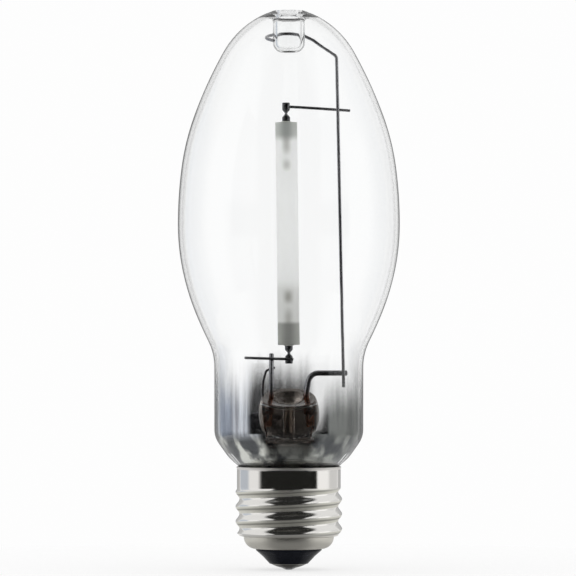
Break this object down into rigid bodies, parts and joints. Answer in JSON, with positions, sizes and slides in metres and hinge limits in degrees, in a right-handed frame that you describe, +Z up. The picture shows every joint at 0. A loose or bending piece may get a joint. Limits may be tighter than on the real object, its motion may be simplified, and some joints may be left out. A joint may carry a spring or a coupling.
{
  "type": "high pressure sodium lamp",
  "caption": "Clear dimpled elliptical glass bulb over a slim ceramic arc tube on a bent wire frame and glass stem, on a screw cap with a glass insulator.",
  "frame": {"origin": "middle of the centre contact's end face, on the cap's axis", "axes": "+Z up the lamp's axis from cap to dome, +X towards the long frame wire"},
  "size_m": [0.0542, 0.0542, 0.1366],
  "materials": {
    "bulb_glass": "clear, gloss, with a mirror film inside the neck",
    "stem_glass": "clear, gloss",
    "support_wire": "nickel plated wire",
    "outer_lead": "copper clad wire",
    "getter_metal": "nickel plated channel",
    "alumina": "translucent, satin",
    "niobium": "drawn niobium, satin",
    "frit": "sealing glass",
    "tungsten": "tungsten, satin",
    "amalgam": "sodium amalgam, bright",
    "shell_plating": "nickel plated brass, bright",
    "insulator_glass": "black glass, gloss",
    "contact_brass": "brass, dulled",
    "solder": "tin solder, dull bright",
    "cement": "basing cement, matt"
  },
  "bodies": {
    "root": {"outer_bulb": "bulb_glass", "glass_stem": "stem_glass", "exhaust_tube": "stem_glass", "left_lead": "support_wire", "right_lead": "support_wire", "contact_lead": "outer_lead", "shell_lead": "outer_lead", "frame_wire": "support_wire", "upper_cross_wire": "support_wire", "lower_cross_wire": "support_wire", "getter_wire": "support_wire", "getter_ring": "getter_metal", "arc_tube": "alumina", "upper_end_plug": "alumina", "lower_end_plug": "alumina", "upper_niobium_tube": "niobium", "lower_niobium_tube": "niobium", "upper_sealing_frit": "frit", "lower_sealing_frit": "frit", "upper_electrode_rod": "tungsten", "lower_electrode_rod": "tungsten", "upper_electrode_coil": "tungsten", "lower_electrode_coil": "tungsten", "amalgam_pill": "amalgam", "screw_shell": "shell_plating", "glass_insulator": "insulator_glass", "centre_contact": "contact_brass", "centre_solder": "solder", "side_solder": "solder", "basing_cement": "cement"}
  },
  "joints": []
}
